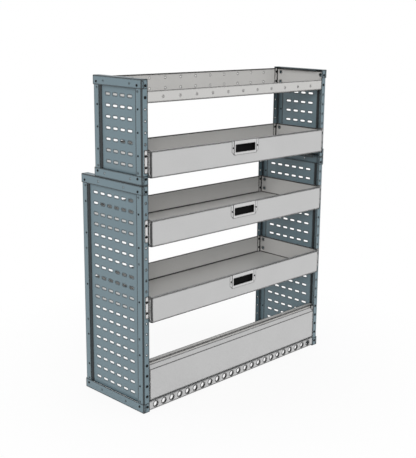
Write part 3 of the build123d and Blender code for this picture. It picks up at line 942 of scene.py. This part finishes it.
finish_piece(join(catches, "door_catch_set"), "root", "zinc_pin", zinc, "door_catches")

# Base rail
# A folded rail ties the front posts at the floor. Its web has a row of large holes with plunged
# collars, and its top flange carries the hinge of the drop flap.
base_sheet = 1.5 * mm
base_bend = 3 * mm
base_bend_steps = 5
base_hole_width = 23 * mm
base_hole_count = 23
base_hole_steps = 28
base_hole_height = 27 * mm
collar_depth = 8 * mm
collar_sheet = 1.2 * mm
collar_edge = 0.3 * mm

low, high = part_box("base_rail")
web_y = low.y + base_sheet / 2
base = folded_sheet(
    "base_rail_sheet",
    [
        (low.x, web_y, low.z),
        (low.x, web_y, high.z - base_sheet / 2),
        (low.x, high.y, high.z - base_sheet / 2),
    ],
    (high.x - low.x, 0, 0), base_sheet, base_bend, base_bend_steps,
)
first = Vector((-(base_hole_count - 1) * hole_pitch / 2, web_y, base_hole_height))
holes = punch(first, (0, 1, 0), base_hole_width, through * base_sheet, base_hole_steps)
repeat(holes, base_hole_count, (hole_pitch, 0, 0))
cut(base, holes)
ring = punch(first + Vector((0, (collar_depth - base_sheet) / 2, 0)), (0, 1, 0),
             base_hole_width + 2 * collar_sheet, collar_depth, base_hole_steps)
cut(ring, punch(first, (0, 1, 0), base_hole_width, through * collar_depth, base_hole_steps))
soften(ring, collar_edge, steps=1, angle=60)
repeat(ring, base_hole_count, (hole_pitch, 0, 0))
finish_piece(join([base, ring]), "root", "door_sheet", door_paint, "base_rail")

# Lintel rail
# A folded rail behind the top of the flap, of the shelves' painted sheet. It is stepped forward at its
# ends to lie against the posts.
lintel_sheet = 1.5 * mm
lintel_bend = 2.5 * mm
lintel_bend_steps = 4
lintel_back = 20 * mm
lintel_edge = 0.5 * mm

low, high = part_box("lintel_rail")
web_y = front_face_y + lintel_back + lintel_sheet / 2
tab_y = low.y + lintel_sheet / 2
step_x = -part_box("left_lower_front_post")[1].x + lintel_sheet
lintel = folded_sheet(
    "lintel_rail_web",
    [
        (low.x, tab_y, low.z), (-step_x, tab_y, low.z), (-step_x, web_y, low.z),
        (step_x, web_y, low.z), (step_x, tab_y, low.z), (high.x, tab_y, low.z),
    ],
    (0, 0, high.z - low.z), lintel_sheet, lintel_bend, lintel_bend_steps,
)
flange = cube_between(
    "lintel_flange", (low.x, web_y - lintel_sheet / 2, high.z - lintel_sheet), high)
soften(flange, lintel_edge, steps=3)
lintel = join([lintel, flange], "lintel_rail_sheet")
finish_piece(lintel, "root", "shelf_sheet", shelf_paint, "lintel_rail")

# Drop flap and its piano hinge
# The flap closes the foot of the unit. Its upper edge leans back as a grip, its ends are returned, and
# a piano hinge along its foot lets it fall forward. Two magnetic catches on the lintel hold it shut.
flap_sheet = 1.2 * mm
flap_bend = 2 * mm
flap_bend_steps = 5
flap_return = 18 * mm
flap_corner = 24 * mm
flap_edge = 0.3 * mm
leaf_sheet = 1.2 * mm
leaf_width = 20 * mm
leaf_edge = 0.24 * mm
knuckle_radius = 2.1 * mm
knuckle_count = 39
knuckle_gap = 0.4 * mm
knuckle_steps = 14
knuckle_edge = 0.15 * mm
hinge_pin_width = 2.4 * mm
hinge_pin_play = 0.2 * mm
hinge_pin_edge = 0.3 * mm
hinge_front = 2 * mm
magnet_length = 30 * mm
magnet_edge = 0.8 * mm

low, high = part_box("flap_panel")
face_y = front_face_y + flap_sheet / 2
flap_top = high.z - flap_return
flap = folded_sheet(
    "flap_sheet",
    [
        (low.x, front_face_y + flap_return, low.z + flap_sheet / 2),
        (low.x, face_y, low.z + flap_sheet / 2),
        (low.x, face_y, flap_top),
        (low.x, face_y + flap_return, flap_top + flap_return),
    ],
    (high.x - low.x, 0, 0), flap_sheet, flap_bend, flap_bend_steps,
)
corner_top = flap_top + 3 * flap_return
returns = []
for side in (-1, 1):
    end_x = end_of(low, high, side)
    corner = cube_between(
        "grip_corner",
        (end_x, front_face_y - flap_return, flap_top),
        (end_x + side * flap_corner, front_face_y + 2 * flap_return, corner_top),
    )
    shift(corner, "EDGE", (-side * flap_corner, 0, 0),
          lambda edge: same(middle_of(edge).x, end_x) and same(middle_of(edge).z, corner_top))
    cut(flap, corner)
    end_plate = cube_between(
        "flap_return",
        (end_x, face_y, low.z),
        (end_x - side * flap_sheet, front_face_y + flap_return, flap_top - flap_sheet),
    )
    soften(end_plate, flap_edge)
    returns.append(end_plate)
finish_piece(join([flap] + returns), "flap", "door_sheet", door_paint, "flap_panel")

pin_low, pin_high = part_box("flap_hinge_pin")
hinge_y = front_face_y - hinge_front
hinge_z = (pin_low.z + pin_high.z) / 2
knuckle_pitch = (high.x - low.x) / knuckle_count
leaves = (
    ("flap_hinge_lower_leaf", 0, "root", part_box("base_rail")[1].z),
    ("flap_hinge_upper_leaf", 1, "flap", low.z - leaf_sheet),
)
for node, first_knuckle, body, leaf_z in leaves:
    plate = cube_between(
        node + "_plate",
        (low.x, hinge_y + knuckle_radius + knuckle_gap, leaf_z),
        (high.x, hinge_y + leaf_width, leaf_z + leaf_sheet),
    )
    soften(plate, leaf_edge, steps=1)
    start_x = low.x + first_knuckle * knuckle_pitch
    end_x = start_x + knuckle_pitch
    tongue = cube_between(
        "tongue",
        (start_x + knuckle_gap / 2, hinge_y + knuckle_radius / 2, leaf_z),
        (end_x - knuckle_gap / 2, hinge_y + 2 * knuckle_radius, leaf_z + leaf_sheet),
    )
    place = ((start_x + end_x) / 2, hinge_y, hinge_z)
    tube = punch(place, (1, 0, 0), 2 * knuckle_radius, knuckle_pitch - knuckle_gap, knuckle_steps)
    cut(tube, punch(place, (1, 0, 0), hinge_pin_width + hinge_pin_play, 2 * knuckle_pitch,
                    knuckle_steps))
    knuckles = join([tube, tongue])
    soften(knuckles, knuckle_edge, steps=1, angle=60)
    repeat(knuckles, (knuckle_count + 1 - first_knuckle) // 2, (2 * knuckle_pitch, 0, 0))
    finish_piece(join([plate, knuckles]), body, "hinge_steel", zinc, node)
pin = punch((pin_low + pin_high) / 2, (1, 0, 0), hinge_pin_width, pin_high.x - pin_low.x,
            knuckle_steps)
pin.name = "flap_hinge_wire"
soften(pin, hinge_pin_edge)
finish_piece(pin, "root", "hinge_steel", zinc, "flap_hinge_pin")

magnet_low, magnet_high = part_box("flap_catches")
magnets = []
for side in (-1, 1):
    outer = side * magnet_high.x
    magnet = cube_between(
        "magnet_case",
        (outer, magnet_low.y, magnet_low.z),
        (outer - side * magnet_length, magnet_high.y, magnet_high.z),
    )
    soften(magnet, magnet_edge, steps=3)
    magnets.append(magnet)
magnets = join(magnets, "flap_catch_cases")
finish_piece(magnets, "root", "catch_magnet", cup_plastic, "flap_catches")

# Screws
# Black flanged hexagon screws join the frames, the shelves and the brackets at every post, and hold the
# front posts beside the flap. Smaller ones hold the infill panels, and their ends show on the inside.
head_flats = 10 * mm
head_height = 3 * mm
head_flange = 13 * mm
head_flange_sheet = 1 * mm
head_flange_steps = 20
side_head_share = 0.9
side_screw_front = 28 * mm
side_screw_back = 23.5 * mm
flap_screw_rows = (1, 2, 3, 4)
infill_head_share = 0.72
infill_screw_front = 25 * mm
infill_screw_back = 27.5 * mm
infill_screw_heights = {
    "lower": (128 * mm, 278 * mm, 528 * mm, 778 * mm, 928 * mm),
    "upper": (1184 * mm, 1284 * mm, 1384 * mm),
}


def screw(place, outward, scale=1):
    """A flanged hexagon head standing on a face."""
    outward = Vector(outward)
    place = Vector(place)
    flange = punch(place + outward * head_flange_sheet * scale / 2, outward, head_flange * scale,
                   head_flange_sheet * scale, head_flange_steps)
    soften(flange, head_flange_sheet * scale / 3)
    head = punch(place + outward * (head_flange_sheet + head_height) * scale / 2, outward,
                 head_flats * scale * 2 / math.sqrt(3),
                 (head_height - head_flange_sheet) * scale, 6)
    soften(head, head_height * scale / 6)
    return [flange, head]


half_width = cad_high.x
post_x = half_width - rail_sheet
hole_x = post_x - hole_inset
infill_inside = post_x - post_sheet - infill_sheet
rear_y = {m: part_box(f"left_{m}_bottom_rail")[1].y for m in modules}
frame_heads = []
side_heads = []
infill_heads = []
for module in modules:
    foot_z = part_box(f"left_{module}_bottom_rail")[0].z
    head_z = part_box(f"left_{module}_top_rail")[1].z
    back_y = rear_y[module] - rail_sheet
    for side in (-1, 1):
        for place_z in (foot_z + end_hole, head_z - end_hole):
            frame_heads += screw((side * hole_x, front_face_y - rail_sheet, place_z), (0, -1, 0))
            frame_heads += screw((side * hole_x, rear_y[module], place_z), (0, 1, 0))
            for place_y in (front_face_y + side_screw_front, back_y - side_screw_back):
                side_heads += screw((side * half_width, place_y, place_z), (side, 0, 0),
                                    side_head_share)
        for place_z in infill_screw_heights[module]:
            for place_y in (front_face_y + infill_screw_front, back_y - infill_screw_back):
                infill_heads += screw((side * post_x, place_y, place_z), (side, 0, 0),
                                      infill_head_share)
                infill_heads += screw((side * infill_inside, place_y, place_z), (-side, 0, 0),
                                      infill_head_share)
frame_heads = join(frame_heads, "frame_screw_heads")
finish_piece(frame_heads, "root", "black_screw", black_steel, "frame_screws")
finish_piece(join(side_heads, "rail_side_screws"), "root", "black_screw", black_steel)
finish_piece(join(infill_heads, "infill_screws"), "root", "black_screw", black_steel)

bracket_heads = []
shelf_heads = []
for name in ("top_shelf", "tray_1", "tray_2", "tray_3"):
    low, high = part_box(name + "_pan")
    bolt_z = high.z - wall_rise
    for side in (-1, 1):
        for place_z in (bolt_z, bolt_z + hole_pitch):
            if name != "top_shelf":
                bracket_heads += screw(
                    (side * hole_x, front_face_y - bracket_sheet, place_z), (0, -1, 0))
            elif place_z == bolt_z:
                shelf_heads += screw((side * hole_x, front_face_y, place_z), (0, -1, 0))
            shelf_heads += screw((side * hole_x, high.y - shelf_sheet, place_z), (0, -1, 0))
for side in (-1, 1):
    for row in flap_screw_rows:
        shelf_heads += screw((side * hole_x, front_face_y, end_hole + row * hole_pitch), (0, -1, 0))
bracket_heads = join(bracket_heads, "bracket_screw_heads")
finish_piece(bracket_heads, "root", "black_screw", black_steel, "bracket_screws")
finish_piece(join(shelf_heads, "shelf_screws"), "root", "black_screw", black_steel)

# Studio
# A matt pale floor and an even sky, which the camera sees as white, with two broad suns from the front
# and the left. The floor darkens a little near the object, so that its shadow shows there.
floor_width = 40
floor_colour = "F4F4F4"
fade_starts, fade_ends = 0.5, 1.5
fade_least = 0.88
sky_light = 0.76
lamps = (  # the way to each sun, its strength and its width in degrees
    ("key_light", (-0.58, -0.7, 0.4), 1.1, 20),
    ("side_light", (-0.85, -0.42, 0.3), 0.2, 30),
)


def seen_directly(tree):
    """1 where a camera, glossy or transmission ray arrives, 0 where light is gathered."""
    path = add_node(tree, "ShaderNodeLightPath")
    either = add_node(tree, "ShaderNodeMath", None,
                      {0: path.outputs["Is Camera Ray"], 1: path.outputs["Is Glossy Ray"]},
                      operation="MAXIMUM")
    any_seen = add_node(tree, "ShaderNodeMath", None,
                        {0: either.outputs["Value"], 1: path.outputs["Is Transmission Ray"]},
                        operation="MAXIMUM")
    return any_seen.outputs["Value"]


scene = bpy.context.scene
scene.view_settings.view_transform = "Standard"

bpy.ops.mesh.primitive_plane_add(size=floor_width)
floor = bpy.context.object
floor.name = "studio_floor"
floor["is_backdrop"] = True
floor_material, tree = new_material("studio floor")
tree.nodes.clear()
away = add_node(tree, "ShaderNodeVectorMath", None,
                {0: add_node(tree, "ShaderNodeTexCoord").outputs["Object"]}, operation="LENGTH")
fade = add_node(tree, "ShaderNodeMapRange",
                {"From Min": fade_starts, "From Max": fade_ends, "To Min": fade_least, "To Max": 1},
                {"Value": away.outputs["Value"]})
shown = add_node(tree, "ShaderNodeMath", None, {0: seen_directly(tree), 1: fade.outputs["Result"]},
                 operation="MULTIPLY")
matt = add_node(tree, "ShaderNodeBsdfDiffuse", {"Color": linear(floor_colour)})
glow = add_node(tree, "ShaderNodeEmission", {"Color": (1, 1, 1, 1), "Strength": 1})
blend = add_node(tree, "ShaderNodeMixShader", None, {
    0: shown.outputs["Value"], 1: matt.outputs["BSDF"], 2: glow.outputs["Emission"]})
add_node(tree, "ShaderNodeOutputMaterial", None, {"Surface": blend.outputs["Shader"]})
floor.data.materials.append(floor_material)

world = bpy.data.worlds.new("studio sky")
scene.world = world
world.use_nodes = True
tree = world.node_tree
tree.nodes.clear()
strength = add_node(tree, "ShaderNodeMapRange", {"To Min": sky_light, "To Max": 1},
                    {"Value": seen_directly(tree)})
sky = add_node(tree, "ShaderNodeBackground", {"Color": (1, 1, 1, 1)},
               {"Strength": strength.outputs["Result"]})
add_node(tree, "ShaderNodeOutputWorld", None, {"Surface": sky.outputs["Background"]})

for name, towards, energy, softness in lamps:
    turn = Vector(towards).to_track_quat("Z", "Y").to_euler()
    bpy.ops.object.light_add(type="SUN", rotation=turn)
    lamp = bpy.context.object
    lamp.name = name
    lamp.data.energy = energy
    lamp.data.angle = math.radians(softness)

# Camera
# It stands where the photograph was taken from. The focal length and the middle of the view are in the
# photograph's pixels, and the small shift brings the view's middle to where the photograph has it.
photo_height = 458
photo_focal = 873.78
photo_middle = (40, -18)
camera_place = (-3.005, -3.0454, 1.7828)
camera_turn = (77.3373, -1.0741, -46.8321)
sensor = 36

bpy.ops.object.camera_add(
    location=camera_place, rotation=[math.radians(angle) for angle in camera_turn])
camera = bpy.context.object
camera.data.sensor_fit = "VERTICAL"
camera.data.sensor_height = sensor
camera.data.lens = photo_focal * sensor / photo_height
camera.data.shift_x = -photo_middle[0] / photo_height
camera.data.shift_y = photo_middle[1] / photo_height
scene.camera = camera

low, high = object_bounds()
